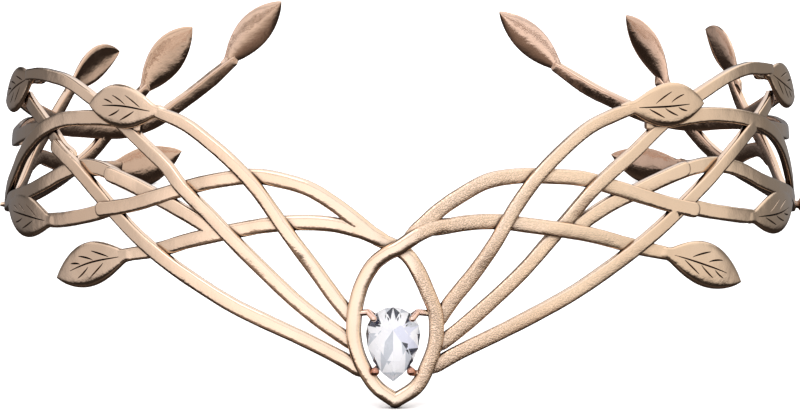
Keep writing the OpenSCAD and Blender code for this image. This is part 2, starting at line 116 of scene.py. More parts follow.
TIE = {
    LEFT: [
        (25.4, 30.2, 0), (29.4, 32.4, 0), (34, 34.3, -0.2), (38.6, 35.7, -0.3), (42, 36.7, 0.2),
        (44, 37.2, 0.6)],
    RIGHT: [
        (24, 30.9, 0), (27, 33.2, 0), (30.6, 35, -0.2), (35, 36.3, -0.3), (39, 37.6, 0.2), (43, 38.5, 0.6)]}
SIDE_STRAND = {
    LEFT: [
        (42.6, 36.6, -0.5), (46.6, 37.3, -0.5), (50, 36.8, -0.5), (53, 35.6, -0.6), (56.4, 33.4, -0.3),
        (60.2, 30.5, 0), (65, 27.2, 0), (70, 24.3, 0), (75, 21.6, 0), (80, 19, -0.3), (86, 16.4, -0.5)],
    RIGHT: [
        (40.6, 37.6, -0.5), (45.4, 37.9, -0.5), (50, 37.3, -0.6), (54, 35.7, -0.4), (58, 33.3, -0.2),
        (62.4, 30.1, 0), (67, 27.3, 0), (72, 24.5, 0), (77, 21.6, 0), (81.6, 18.6, -0.3), (86, 16.4, -0.5)]}
LEAF_STEM = {
    LEFT: [
        (43.2, 31.2, -0.5), (48, 28.3, -0.3), (52, 26.3, 0), (56, 24.5, 0), (61, 22.8, 0)],
    RIGHT: [
        (43.2, 31.5, -0.5), (48, 29, -0.3), (52, 27.2, 0), (56, 25.4, 0), (61, 23.4, 0)]}
LONG_STRAND = {
    LEFT: [
        (39.4, 47.2, -0.6), (43, 47.6, -0.6), (47.4, 47, -0.2), (52, 45.7, 0), (57, 43.7, 0.1),
        (62, 40.2, 0.5), (66.4, 36, 0.5), (70.4, 31.9, 0.2), (74.2, 27.3, 0), (78, 22.8, 0), (82, 19, -0.3),
        (87, 16, -0.5)],
    RIGHT: [
        (37, 48.2, -0.6), (42, 48, -0.6), (48, 47.4, -0.2), (54, 45.6, 0), (59, 43.4, 0.3), (64, 40.6, 0.5),
        (69, 36.9, 0.3), (73.6, 32.6, 0), (77.2, 28.2, -0.2), (80.4, 23.6, -0.3), (83.4, 19.4, -0.5),
        (87, 16, -0.5)]}
SHORT_STRAND = [
    (53.2, 37.2, -0.5), (56.3, 38.2, -0.3), (58.8, 39.6, -0.4), (62, 40.8, -0.6), (66.4, 42.2, -0.5),
    (71, 43.2, -0.5)]
PEAK_RUN = {
    LEFT: [
        (64, 49.9, -0.4), (70, 48, -0.6), (77, 44.8, -0.4), (84, 41, 0), (91, 37, 0), (98, 33, 0),
        (104, 29, 0), (110, 25, 0), (117, 20.4, 0)],
    RIGHT: [
        (64, 50.8, -0.4), (70, 48.8, -0.6), (77, 45.4, -0.4), (84, 41.6, 0), (91, 37.8, 0), (98, 34, 0),
        (104, 30.2, 0), (110, 26, 0), (117, 21, 0)]}
FIRST_BACK = {
    LEFT: [
        (62, 40.6, -0.5), (69, 37.4, -0.8), (78, 32.8, -1.1), (87, 29, -1.1), (96, 26.6, -0.4),
        (104, 25.2, 0), (112, 21.8, 0), (120, 18.2, 0), (127, 15.5, 0), (132.6, 13.9, 0), (138, 14.4, 0),
        (143, 17.1, 0), (148, 20.8, 0), (152.4, 24.9, 0)],
    RIGHT: [
        (62, 41.4, -0.5), (69, 38, -0.9), (78, 34, -0.8), (87, 30.4, -0.8), (96, 27.8, -0.4),
        (104, 25.6, 0), (112, 22.8, 0), (120, 19.9, 0), (127, 17.2, 0), (133, 15.8, 0), (138.6, 15.9, 0),
        (144, 17.4, 0), (149, 19.5, 0), (154.4, 23.2, 0)]}
SECOND_BACK = {
    LEFT: [
        (84, 17.2, -0.4), (91, 13.6, -0.4), (98, 11, 0), (105, 9.2, 0), (112, 8.4, 0), (118, 9, 0),
        (124.2, 11.2, 0), (128.6, 14.9, 0), (132.4, 18.6, 0), (136, 22.4, 0)],
    RIGHT: [
        (84, 17.2, -0.4), (91, 13.6, -0.4), (98, 11.8, 0), (105, 10.6, 0), (112, 10.2, 0), (118.6, 10.6, 0),
        (124.2, 12.3, 0), (128.8, 15.9, 0), (131.4, 20, 0), (135, 24.2, 0)]}
THIRD_BACK = {
    LEFT: [
        (85, 16.4, -0.6), (91, 13.9, -0.5), (97, 12.6, 0), (101.4, 13.3, 0), (105, 16, 0), (109.4, 19.8, 0),
        (114, 23.5, 0), (118.6, 28.2, 0)],
    RIGHT: [
        (85, 16.4, -0.6), (91, 13.9, -0.5), (96.6, 12.8, 0), (100.6, 13.9, 0), (104, 16.8, 0),
        (109, 20.6, 0), (114.4, 25.2, 0), (117.4, 30.4, 0)]}
FOURTH_BACK = {
    LEFT: [
        (104.4, 15.8, 0), (108.6, 16.4, 0), (113, 14, 0), (118.4, 10.5, 0), (124.4, 7.9, 0), (131, 6.2, 0)],
    RIGHT: [
        (104.4, 16.8, 0), (108.6, 17.9, 0), (113, 16, 0), (118.4, 12.2, 0), (124.4, 8.8, 0), (131, 6.2, 0)]}

# Stub that stands out from the low joint of each side: (lift off the wall, radius)
STUB_ANGLE, STUB_HEIGHT, STUB_STEPS, STUB_SIDES = 90, 14, 5, 20
STUB = {
    LEFT: [
        (-0.4, 0.6), (0.7, 0.5), (1.3, 0.4)],
    RIGHT: [
        (-0.4, 0.8), (0.9, 0.8), (1.3, 1.3), (1.8, 1.4)]}

# Leaf rows: (base angle, base height, tip angle, tip height, upward bow, lift, more lift at the tip,
# width as a part of its kind's)
OUTER_LEAVES = {
    LEFT: [
        (35.6, 51.2, 49.2, 49.2, 0.5, 0.7, 0, 1),
        (68, 48.7, 80.5, 39.2, 0, 0.2, 1.2, 1),
        (57.4, 23.8, 76, 19.6, -0.2, 0.4, 0, 1),
        (40, 22.9, 55, 13.6, 0.6, 0.5, 0, 1)],
    RIGHT: [
        (33.6, 52.4, 47.7, 49.9, 0.3, 0.7, 0, 1),
        (67.5, 49.7, 80.5, 40.1, 0, 0.4, 1.2, 1),
        (58.4, 24.2, 77.2, 19.7, -0.2, 0.4, 0, 1),
        (38.8, 23.6, 54.4, 13, 0.8, 0.5, 0, 1)]}
BACK_LEAVES = {
    LEFT: [
        (151, 24.2, 160.5, 37.3, 0.3, 0, 0, 1),
        (135.2, 21.4, 144.8, 34.1, 0.4, 0, 0, 1.14),
        (117.8, 27.8, 130, 32.3, 1, 0, 0, 1.02),
        (129, 6.8, 143.6, 6.1, -2.07, 0, 0, 1.15)],
    RIGHT: [
        (153.4, 22.5, 163.8, 34.6, 0, 0, 0, 0.9),
        (133.2, 23.4, 141.2, 37.5, 1, 0, 0, 0.96),
        (115.4, 29.8, 123.6, 39.2, 1.5, 0, 0, 1.06),
        (131, 6.8, 145, 5, -1.8, 0, 0, 1.05)]}

# Inner face of each back leaf: domed where positive and cupped where negative, and its lean up to the light
INNER_FACES = {
    LEFT: [(0.95, 0.1), (0.7, 0.15), (-0.6, 0), (0.95, 0.09)],
    RIGHT: [(0.95, 0.08), (0.8, 0.04), (0.5, 0), (0.95, 0.06)]}

# Engraved side veins of an outer leaf: (start along the leaf, start across, end along, end across)
SIDE_VEINS = [
    (0.22, 0.14, 0.42, 0.56), (0.42, 0.12, 0.6, 0.5), (0.6, 0.12, 0.73, 0.36),
    (0.3, -0.14, 0.5, -0.6), (0.5, -0.12, 0.67, -0.5)]
# Its middle rib: where it starts, how far it runs and how far it bends, as parts of the leaf
RIB_START, RIB_LENGTH, RIB_BEND = 0.1, 0.66, 0.05
# A vein's width and depth, and how far its cutter stands over the face
VEIN_W, VEIN_DEPTH, VEIN_TOP = 0.36, 0.3, 0.3


def unit(v):
    return v / np.linalg.norm(v, axis=-1, keepdims=True)


def square_to(directions, along):
    """The directions, each turned square to the line's own at its place."""
    return unit(directions - (directions * along).sum(-1, keepdims=True) * along)


def wall(angle, height, lift):
    """Places on the band's wall."""
    draw = math.tan(BAND_LEAN) * (height - BAND_MID_Z) - lift
    turn = np.radians(angle)
    return np.stack(
        [(BAND_RX - draw) * np.sin(turn), BAND_BACK_Y - (BAND_RY - draw) * np.cos(turn), height], -1)


def outward(angle):
    """Directions that are outward from the wall at these angles."""
    turn = np.radians(angle)
    flat = unit(np.stack([BAND_RY * np.sin(turn), -BAND_RX * np.cos(turn), 0 * turn], -1))
    return flat * math.cos(BAND_LEAN) + np.array([0, 0, math.sin(BAND_LEAN)])


def smooth(rows, steps):
    """A smooth curve through rows of numbers, with a number of steps from each row to the next."""
    rows = np.array(rows, float)
    padded = np.vstack([2 * rows[0] - rows[1], rows, 2 * rows[-1] - rows[-2]])
    a, b, c, d = (padded[k:len(rows) - 1 + k, None] for k in range(4))
    t = (np.arange(steps) / steps)[None, :, None]
    curve = 0.5 * (2 * b + (c - a) * t + (2 * a - 5 * b + 4 * c - d) * t**2 + (3 * b - a - 3 * c + d) * t**3)
    return np.vstack([curve.reshape(-1, rows.shape[1]), rows[-1]])


def tube_faces(count, sides, closed=False):
    """Faces of a tube of vertex rings, which is closed on itself or has a cap at both ends."""
    faces = []
    for ring in range(count if closed else count - 1):
        here, there = ring * sides, (ring + 1) % count * sides
        for k in range(sides):
            after = (k + 1) % sides
            faces.append((here + k, there + k, there + after, here + after))
    if not closed:
        faces += [tuple(range(sides)), tuple(range(count * sides - 1, (count - 1) * sides - 1, -1))]
    return faces


def sweep(points, outs, section, half_w, half_t, lean=0.0):
    """A closed shell: a section carried along the points. Returns its vertices and its faces.

    With a lean, the section's sides stand outward and inward by that part of their distance from the middle.
    """
    along = unit(np.gradient(points, axis=0))
    out = square_to(outs, along)
    across = np.cross(along, out)
    wide = (section[..., 0] * half_w)[..., None]
    thick = (section[..., 1] * half_t + section[..., 0] * half_w * lean)[..., None]
    rings = points[:, None] + across[:, None] * wide + out[:, None] * thick
    return rings.reshape(-1, 3), tube_faces(len(points), section.shape[-2])


def rounded_section(sides, squareness):
    """A rounded flat bar's outline, as parts of its half width and half thickness."""
    turn = (np.arange(sides) + 0.5) * 2 * math.pi / sides
    c, s = np.cos(turn), np.sin(turn)
    power = 2 / squareness
    return np.stack([np.sign(c) * abs(c)**power, np.sign(s) * abs(s)**power], -1)


# Waves that filing and polishing by hand leave along a strand: (length, share), and their sizes
WAVES = (21, 1), (8.3, 0.7), (4.1, 0.4)
WAVE_IN_W, WAVE_IN_T = 0.012, 0.014


def hand_finish(count, spacing, amount):
    """A slow, small wander of a strand's width or thickness."""
    s = np.arange(count) * spacing
    return 1 + sum(
        amount * share * np.sin(2 * math.pi * s / length + rng.uniform(0, 2 * math.pi))
        for length, share in WAVES)


# How square a strand's section is at angles round the band: rounder in front, flatter at the sides
STRAND_SQUARENESS = (15, 45), (3, 5)
LOOP_SQUARENESS = (0, 90), (2.8, 2.8)
SECTION_SIDES, STRAND_STEPS, LOOP_STEPS = 26, 8, 14
# What there is of a strand at its first steps, where it starts from another strand
SOFT_START = np.array([0.5, 0.8, 0.95])
THIN_START = np.array([0.25, 0.42, 0.57, 0.7, 0.8, 0.88, 0.94, 0.98])
# A neck is narrowed over this many steps, to this part of its strand's width or less
NECK_STEPS, NECK_SHARE = 8, 0.84
# Steps that an end adds: how far on, in widths, and what is left of the width and of the thickness
ROUND_TURNS = np.radians([18, 36, 52, 66, 78])
ENDS = {
    "round": np.column_stack([np.sin(ROUND_TURNS) / 2, np.cos(ROUND_TURNS), (np.cos(ROUND_TURNS) + 1) / 2]),
    "leaf": np.array([
        (0.1, 0.97, 0.94), (0.22, 0.88, 0.8), (0.34, 0.72, 0.6), (0.46, 0.48, 0.38), (0.58, 0.2, 0.15)])}


def strand(
        rows, side, w_start, w_end, thick=STRAND_T, end="cut", steps=STRAND_STEPS,
        squareness=STRAND_SQUARENESS, start=SOFT_START):
    """A strand along its rows. Its start is softened, and its end is cut, round, or thins out into a leaf."""
    path = smooth(rows, steps)
    points = wall(side * path[:, 0], path[:, 1], path[:, 2])
    outs = outward(side * path[:, 0])
    spacing = np.linalg.norm(np.diff(points, axis=0), axis=1).mean()
    half_w = np.linspace(w_start, w_end, len(path)) / 2 * hand_finish(len(path), spacing, WAVE_IN_W)
    half_t = thick / 2 * hand_finish(len(path), spacing, WAVE_IN_T)
    half_w[:len(start)] *= start
    half_t[:len(start)] *= start
    section = rounded_section(SECTION_SIDES, np.interp(np.abs(path[:, 0]), *squareness)[:, None])
    if end == "leaf":
        narrowed = min(NECK_SHARE, NECK_W / w_end)
        half_w[-NECK_STEPS:] *= np.linspace(1, narrowed, NECK_STEPS)
        w_end = w_end * narrowed
    if end in ENDS:
        reach, wide, deep = ENDS[end].T
        heading = unit(points[-1] - points[-2])
        points = np.vstack([points, points[-1] + heading * reach[:, None] * w_end])
        outs = np.vstack([outs, np.repeat(outs[-1:], len(reach), 0)])
        section = np.vstack([section, np.repeat(section[-1:], len(reach), 0)])
        half_w = np.append(half_w, wide * w_end / 2)
        half_t = np.append(half_t, deep * thick / 2)
    return sweep(points, outs, section, half_w[:, None], half_t[:, None])


def stub(side):
    """A short round stub, square to the wall."""
    rows = smooth(STUB[side], STUB_STEPS)
    angle, height = np.full(len(rows), side * STUB_ANGLE), np.full(len(rows), STUB_HEIGHT)
    radius = rows[:, 1:]
    up = np.repeat([[0.0, 0.0, 1.0]], len(rows), 0)
    return sweep(wall(angle, height, rows[:, 0]), up, rounded_section(STUB_SIDES, 2), radius, radius)


# Part of a leaf's length over which it comes out of its strand, and the most that it stands out there
NECK_LENGTH, NECK_LIFT = 0.2, 0.2
# Thickness of a leaf at its tip as a part of LEAF_T, and at its neck as a part of STRAND_T
TIP_T, NECK_T = 0.35, 0.95
# Width of a leaf's stem and of its point, as parts of its widest, and how sharply they meet the blade
STEM, POINT, BLEND = 0.3, 0.03, 5
# Places along a leaf, the first ones inside its strand, and places across it
LEAF_ALONG = np.concatenate([[-0.09, -0.06, -0.03], np.linspace(0, 1, 47)])
LEAF_ACROSS = np.sin(np.linspace(-1, 1, 21) * math.pi / 2)


def rim(v):
    """A flat face that rounds down at its edges, by the place across it."""
    return (1 - abs(v)**6)**0.5


def leaf_dome(v):
    """A leaf's outer face across it: a low dome with a soft rim."""
    return 0.8 * rim(v) + 0.2 * (1 - abs(v)**1.7)


def leaf_section(inner_dome):
    """A leaf's section. Its inner face is flat at 0, fully domed at 1, and cupped below 0."""
    v = LEAF_ACROSS
    dome, cup = max(inner_dome, 0), max(-inner_dome, 0)
    inner = -0.9 * ((1 - dome) * rim(v) * (1 - cup * (1 - v**2)) + dome * (1 - v**2))
    outer_side = np.stack([v[::-1], leaf_dome(v[::-1])], -1)
    inner_side = np.stack([v[1:-1], inner[1:-1]], -1)
    return np.vstack([outer_side, inner_side])


def leaf_fullness(u):
    """Half width of a leaf along it, as a part of its widest."""
    stem = STEM * (1 + 6 * np.minimum(u, 0)) * (1 - u)
    blade = np.sin(np.pi * np.clip(u, 0, 1)**1.03).clip(0)**0.75
    return (stem**BLEND + blade**BLEND + POINT**BLEND)**(1 / BLEND)


def leaf_lines(row, side, width, u):
    """Middle line, outward directions and half sizes of a leaf at places along it."""
    base_angle, base_height, tip_angle, tip_height, bow, base_lift, tip_lift, share = row
    angle = side * (base_angle + (tip_angle - base_angle) * u)
    height = base_height + (tip_height - base_height) * u + bow * np.sin(np.pi * u)
    neck = np.clip(1 - u / NECK_LENGTH, 0, 1)
    lift = base_lift + tip_lift * u - max(base_lift - NECK_LIFT, 0) * neck**2
    full = leaf_fullness(u)
    blade_t, neck_t = (TIP_T + (1 - TIP_T) * full) * LEAF_T / 2, NECK_T * STRAND_T / 2
    half_t = (blade_t + (neck_t - blade_t) * neck**1.5) * (1 + 8 * np.minimum(u, 0))
    return wall(angle, height, lift), outward(angle), full * share * width / 2, half_t


def leaf(row, side, width, inner_dome, lean=0.0):
    points, outs, half_w, half_t = leaf_lines(row, side, width, LEAF_ALONG)
    turned = -side * lean * np.clip(LEAF_ALONG / NECK_LENGTH, 0, 1)[:, None]
    return sweep(points, outs, leaf_section(inner_dome), half_w[:, None], half_t[:, None], turned)


def vein(row, side, width, along, across):
    """A cutter for one engraved vein: a keen wedge that thins out at both ends."""
    points, outs, half_w, half_t = leaf_lines(row, side, width, along)
    fine = np.linspace(0, 1, 201)
    line = leaf_lines(row, side, width, fine)[0]
    headings = np.stack([np.interp(along, fine, h) for h in unit(np.gradient(line, axis=0)).T], -1)
    square = square_to(outs, headings)
    places = points + np.cross(headings, square) * (across * half_w)[:, None]
    places = places + square * (leaf_dome(across) * half_t)[:, None]
    taper = np.sin(np.pi * np.linspace(0.06, 0.94, len(along)))[:, None]**0.7
    sideways = np.cross(unit(np.gradient(places, axis=0)), square)
    to_side = sideways * (VEIN_W / 2 * (1 + VEIN_TOP / VEIN_DEPTH) * taper)
    top = places + square * (VEIN_TOP * taper)
    keel = places - square * (VEIN_DEPTH * taper)
    rings = np.stack([top + to_side, top - to_side, keel], 1)
    return rings.reshape(-1, 3), tube_faces(len(along), 3)


def leaf_veins(row, side, width):
    """Middle rib and side veins, engraved in the outer face."""
    s = np.linspace(0, 1, 13)
    cuts = [vein(row, side, width, RIB_START + RIB_LENGTH * s, RIB_BEND * np.sin(np.pi * s))]
    for u0, v0, u1, v1 in SIDE_VEINS:
        cuts.append(vein(row, side, width, u0 + (u1 - u0) * s, v0 + (v1 - v0) * s**0.8))
    return cuts


def new_object(name, data):
    made = bpy.data.objects.new(name, data)
    bpy.context.scene.collection.objects.link(made)
    return made


def mesh_object(name, shells):
    """One object from closed shells, in metres, with every shell's faces turned outward."""
    points, faces, base = [], [], 0
    for vertices, polygons in shells:
        volume = 0
        for polygon in polygons:
            corners = vertices[list(polygon)]
            areas = np.cross(corners[1:-1] - corners[0], corners[2:] - corners[0])
            volume += (areas @ (corners[0] - vertices[0])).sum()
        points.append(vertices * MM)
        faces += [[i + base for i in (p if volume > 0 else p[::-1])] for p in polygons]
        base += len(vertices)
    mesh = bpy.data.meshes.new(name)
    mesh.from_pydata(np.vstack(points).tolist(), [], faces)
    mesh.validate()
    return new_object(name, mesh)


def combine(target, others, operation):
    """Adds closed meshes to the target, or cuts them out of it, and leaves only the target."""
    for other in others:
        modifier = target.modifiers.new("combine", "BOOLEAN")
        modifier.solver = "MANIFOLD"
        modifier.operation = operation
        modifier.object = other
    graph = bpy.context.evaluated_depsgraph_get()
    result = bpy.data.meshes.new_from_object(target.evaluated_get(graph), depsgraph=graph)
    target.modifiers.clear()
    target.data = result
    for other in others:
        bpy.data.objects.remove(other)
    return target


def weld(mesh):
    """Merges the vertices that a union leaves double, and drops its fins: two triangles back to back."""
    shape = bmesh.new()
    shape.from_mesh(mesh)
    bmesh.ops.remove_doubles(shape, verts=shape.verts, dist=WELD_REACH)
    bmesh.ops.triangulate(shape, faces=shape.faces)
    fins = [vertex for vertex in shape.verts if len(vertex.link_edges) < 3]
    bmesh.ops.delete(shape, geom=fins, context="VERTS")
    shape.to_mesh(mesh)
    shape.free()


def centre_loop():
    return [
        strand(rows, RIGHT, LOOP_W, LOOP_W, LOOP_T, "round", LOOP_STEPS, LOOP_SQUARENESS)
        for rows in (LOOP_LEFT, LOOP_RIGHT)]


def front_casting(side):
    return [
        strand(LOW_ARM[side], side, FRONT_W, FRONT_W, end="round" if side == LEFT else "cut"),
        strand(MIDDLE_ARM[side], side, FRONT_W, ARM_END_W, end="leaf"),
        strand(TOP_ARM[side], side, FRONT_W, ARM_END_W, end="leaf"),
        strand(UPPER_ARCH[side], side, FRONT_W, FRONT_W, end="round", start=THIN_START),
        strand(LOWER_ARCH[side], side, FRONT_W, FRONT_W, end="leaf", start=THIN_START),
        strand(TIE[side], side, SIDE_W, SIDE_W, end="round")]


def side_casting(side):
    strands = [
        strand(SIDE_STRAND[side], side, FRONT_W, SIDE_W),
        strand(LEAF_STEM[side], side, FRONT_W, FRONT_W, end="leaf"),
        strand(LONG_STRAND[side], side, FRONT_W, SIDE_W),
        strand(PEAK_RUN[side], side, SIDE_W, SIDE_W),
        stub(side)]
    if side == LEFT:
        strands.append(strand(SHORT_STRAND, side, FRONT_W, SIDE_W))
    return strands


def back_casting(side):
    return [
        strand(rows, side, SIDE_W, BACK_W, end="leaf")
        for rows in (FIRST_BACK[side], SECOND_BACK[side], THIRD_BACK[side], FOURTH_BACK[side])]


def leaves(side):
    """The eight leaves of one side, as objects. The four outer ones are engraved."""
    made = []
    for row in OUTER_LEAVES[side]:
        blade = mesh_object("leaf", [leaf(row, side, OUTER_LEAF_W, 0.3)])
        cuts = mesh_object("veins", leaf_veins(row, side, OUTER_LEAF_W))
        made.append(combine(blade, [cuts], "DIFFERENCE"))
    for row, (inner_dome, lean) in zip(BACK_LEAVES[side], INNER_FACES[side]):
        made.append(mesh_object("leaf", [leaf(row, side, BACK_LEAF_W, inner_dome, lean)]))
    return made


# Stone: its place on the wall and its sizes
STONE_ANGLE, STONE_HEIGHT, STONE_LIFT = -0.9, 12, 0.6
STONE_W, STONE_L, CROWN_H, PAVILION_H, GIRDLE_T = 10, 14, 2, 3.9, 0.3
# Its outline: a half circle above, and a long arc down each side
ROUND_R = STONE_W / 2
ROUND_Y = STONE_L / 2 - ROUND_R
DROP = STONE_L - ROUND_R
FLANK_R = (ROUND_R**2 + DROP**2) / (2 * ROUND_R)
FLANK_TURN = math.degrees(math.asin(DROP / FLANK_R))
# Its facets: places round the outline, and sizes of the table and of the ring of inner corners at the back
GIRDLE_PLACES, TABLE_SIZE, BACK_SIZE = 36, 0.58, 0.42
# How far in the stars stand, and where they and the inner corners are, as parts of the crown and the back
STAR_INSET, STAR_RISE, BACK_RISE = 0.18, 0.62, 0.62
# How far a seam of the back runs from an inner corner toward the girdle
BACK_SEAM = 0.55


def stone_places(points):
    """From the stone's own axes (X across, Y up the wall, Z outward) to the band's."""
    centre = wall(np.array(STONE_ANGLE), np.array(STONE_HEIGHT), STONE_LIFT)
    tilt = math.pi / 2 - BAND_LEAN
    c, s = math.cos(tilt), math.sin(tilt)
    x, y, z = np.asarray(points, float).T
    return np.stack([x, y * c - z * s, y * s + z * c], -1) + centre


def edge(turn):
    """A place on the pear's right side: an angle up the half circle, or minus a turn down the long arc."""
    r = math.radians(turn)
    if turn >= 0:
        return np.array([ROUND_R * math.cos(r), ROUND_Y + ROUND_R * math.sin(r)])
    return np.array([FLANK_R * math.cos(r) - (FLANK_R - ROUND_R), ROUND_Y + FLANK_R * math.sin(r)])


def pear_outline(corners):
    """The pear's outline from the top, round its right side and back up the left one."""
    half = corners // 2
    upper = half * 5 // 9
    right = [edge(90 - 90 * k / upper) for k in range(upper + 1)]
    right += [edge(-FLANK_TURN * k / (half - upper)) for k in range(1, half - upper + 1)]
    return np.array(right + [p * (-1, 1) for p in right[-2:0:-1]])


def pear_stone():
    """A pear brilliant: table, stars, kites and girdle facets above, mains and girdle facets below."""
    outline = pear_outline(GIRDLE_PLACES)
    mains = len(outline) // 4
    middle = np.array([0, ROUND_Y / 2])

    def ring(size, height, first, step):
        flat = middle + (outline[first::step] - middle) * size
        return [(x, y, height) for x, y in flat]

    table = ring(TABLE_SIZE, CROWN_H, 0, 4)
    stars = ring(1 - STAR_INSET, CROWN_H * STAR_RISE, 2, 4)
    upper = ring(1, GIRDLE_T / 2, 0, 2)
    lower = ring(1, -GIRDLE_T / 2, 0, 2)
    inner = ring(BACK_SIZE, -PAVILION_H * BACK_RISE, 2, 4)
    seams = [
        tuple(BACK_SEAM * np.array(at) + (1 - BACK_SEAM) * np.array(corner))
        for at, corner in zip(lower[1::2], inner)]
    points = table + stars + upper + lower + inner + seams + [(middle[0], middle[1], -PAVILION_H)]
    t, s, g, b, h, q = (mains * k for k in (0, 1, 2, 4, 6, 7))
    culet = len(points) - 1
    faces = [tuple(range(mains))]
    for k in range(mains):
        after, before = (k + 1) % mains, (k - 1) % mains
        main, side_corner, next_main = 2 * k, 2 * k + 1, 2 * after
        faces += [
            (t + k, t + after, s + k),
            (t + k, s + k, g + main, s + before),
            (s + k, g + side_corner, g + main), (s + k, g + next_main, g + side_corner),
            (g + main, g + side_corner, b + side_corner, b + main),
            (g + side_corner, g + next_main, b + next_main, b + side_corner),
            (b + main, b + side_corner, q + k), (b + main, q + k, h + k),
            (b + side_corner, b + next_main, q + k), (q + k, b + next_main, h + k),
            (b + main, h + k, culet, h + before)]
    return stone_places(points), faces


# Setting: rail under the edge, and claws at two turns round the stone, which reach out to the loop
RAIL_R, RAIL_SIZE, RAIL_Z, RAIL_PLACES, RAIL_SIDES = 0.45, 0.86, -1.8, 72, 12
CLAW_R, CLAW_REACH, BEAD_R, BEAD_Z, STONE_GAP = 0.6, 0.25, 0.8, 0.7, 0.08
UPPER_TURN, LOWER_TURN, WIRE_REACH, FOOT_OUT = 42, -38, 6.8, -0.8
# A bar's sides, the rings of its two ends, their least turn from a pole, and a direction no bar runs in
BAR_SIDES, START_STEPS, END_STEPS = 16, 7, 9
BAR_POLE = math.radians(4)
NO_BAR = (0.3, 0.5, 0.81)


def bar(start, start_r, end, end_r):
    """A round bar between two places, with round ends, in the stone's own axes."""
    start, end = np.asarray(start, float), np.asarray(end, float)
    length = np.linalg.norm(end - start)
    axis = (end - start) / length
    shoulder = math.pi / 2 - math.asin((end_r - start_r) / length)
    first = np.linspace(BAR_POLE, shoulder, START_STEPS)
    last = np.linspace(shoulder, math.pi - BAR_POLE, END_STEPS)
    stations = [(-start_r * math.cos(a), start_r * math.sin(a)) for a in first]
    stations += [(length - end_r * math.cos(a), end_r * math.sin(a)) for a in last]
    across = unit(np.cross(axis, NO_BAR))
    other = np.cross(axis, across)
    turn = np.arange(BAR_SIDES) * 2 * math.pi / BAR_SIDES
    circle = np.cos(turn)[:, None] * across + np.sin(turn)[:, None] * other
    rings = [start + axis * x + circle * r for x, r in stations]
    return stone_places(np.vstack(rings)), tube_faces(len(rings), BAR_SIDES)


def rail():
    """The rim under the stone's edge, as a closed ring."""
    middle = np.column_stack([pear_outline(RAIL_PLACES) * RAIL_SIZE, np.full(RAIL_PLACES, RAIL_Z)])
    along = unit(np.roll(middle, -1, 0) - np.roll(middle, 1, 0))
    across = np.cross(along, [0, 0, 1])
    turn = np.arange(RAIL_SIDES) * 2 * math.pi / RAIL_SIDES
    rings = middle[:, None] + RAIL_R * (
        np.cos(turn)[:, None] * across[:, None] + np.sin(turn)[:, None] * np.array([0, 0, 1]))
    return stone_places(rings.reshape(-1, 3)), tube_faces(RAIL_PLACES, RAIL_SIDES, closed=True)


def beside(side, turn, out, z):
    """A place at a distance out from the stone's edge, square to it, at a height over the girdle."""
    r = math.radians(turn)
    x, y = edge(turn) + out * np.array([math.cos(r), math.sin(r)])
    return np.array([side * x, y, z])


def setting():
    """Rail and four claws. The upper claws reach in over the crown, the lower ones end in a ball."""
    slope = math.atan((CROWN_H * STAR_RISE - GIRDLE_T / 2) / (STAR_INSET * ROUND_R))
    tip_z = GIRDLE_T / 2 + CLAW_REACH * math.tan(slope) + (CLAW_R + STONE_GAP) / math.cos(slope)
    bead_out = math.sqrt((BEAD_R + STONE_GAP)**2 - (BEAD_Z - GIRDLE_T / 2)**2)
    # Each claw: turn, how far out its knee is, its root's reach, drop and height, its head's place and radius
    claws = (
        (UPPER_TURN, 1.1, WIRE_REACH, -0.3, -0.4, -CLAW_REACH, tip_z, CLAW_R),
        (LOWER_TURN, 1.4, WIRE_REACH - 1.4, -0.2, -0.2, bead_out, BEAD_Z, BEAD_R))
    shells = [rail()]
    for side in (LEFT, RIGHT):
        for turn, knee_out, root_x, root_drop, root_z, head_out, head_z, head_r in claws:
            knee = beside(side, turn, knee_out, 0)
            shells += [
                bar([side * root_x, knee[1] + root_drop, root_z], CLAW_R, knee, CLAW_R),
                bar(knee, CLAW_R, beside(side, turn, head_out, head_z), head_r),
                bar(knee, CLAW_R, beside(side, turn, FOOT_OUT, RAIL_Z), RAIL_R)]
    return shells


def build_metal():
    """The frame: every strand, leaf and claw joined into one solid body."""
    sides = []
    for side in (LEFT, RIGHT):
        shells = front_casting(side) + side_casting(side) + back_casting(side)
        parts = [mesh_object("strand", [shell]) for shell in shells] + leaves(side)
        sides.append(combine(parts[0], parts[1:], "UNION"))
    shells = centre_loop() + setting()
    metal = mesh_object("tiara_metal", shells[:1])
    more = [mesh_object("strand", [shell]) for shell in shells[1:]]
    metal = combine(metal, more + sides, "UNION")
    metal.data.materials.clear()
    weld(metal.data)
    for vertex in metal.data.vertices:
        vertex.co.z = max(vertex.co.z, FLOOR_CLEARANCE)
    metal.data.shade_smooth()
    metal.data.set_sharp_from_angle(angle=math.radians(SHARP_ANGLE))
    return metal


def add(tree, kind, inputs=None, **settings):
    """Adds a shader node, with its settings and its inputs given as numbers, colours or sockets."""
    node = tree.nodes.new(kind)
    for key, value in settings.items():
        setattr(node, key, value)
    for key, value in (inputs or {}).items():
        if isinstance(value, bpy.types.NodeSocket):
            tree.links.new(value, node.inputs[key])
        else:
            node.inputs[key].default_value = value
    return node


def colour(r, g, b):
    return (r, g, b, 1)


def mix(tree, factor, a, b):
    return add(tree, "ShaderNodeMix", {0: factor, 6: a, 7: b}, data_type="RGBA").outputs[2]


def number(tree, operation, *inputs):
    return add(tree, "ShaderNodeMath", dict(enumerate(inputs)), operation=operation).outputs[0]


def vector(tree, operation, *inputs):
    """What a vector operation gives: a number for a product or a distance, or else a vector."""
    node = add(tree, "ShaderNodeVectorMath", dict(enumerate(inputs)), operation=operation)
    return node.outputs["Value" if operation in ("DOT_PRODUCT", "DISTANCE") else "Vector"]


def product(tree, first, *others):
    for other in others:
        first = number(tree, "MULTIPLY", first, other)
    return first


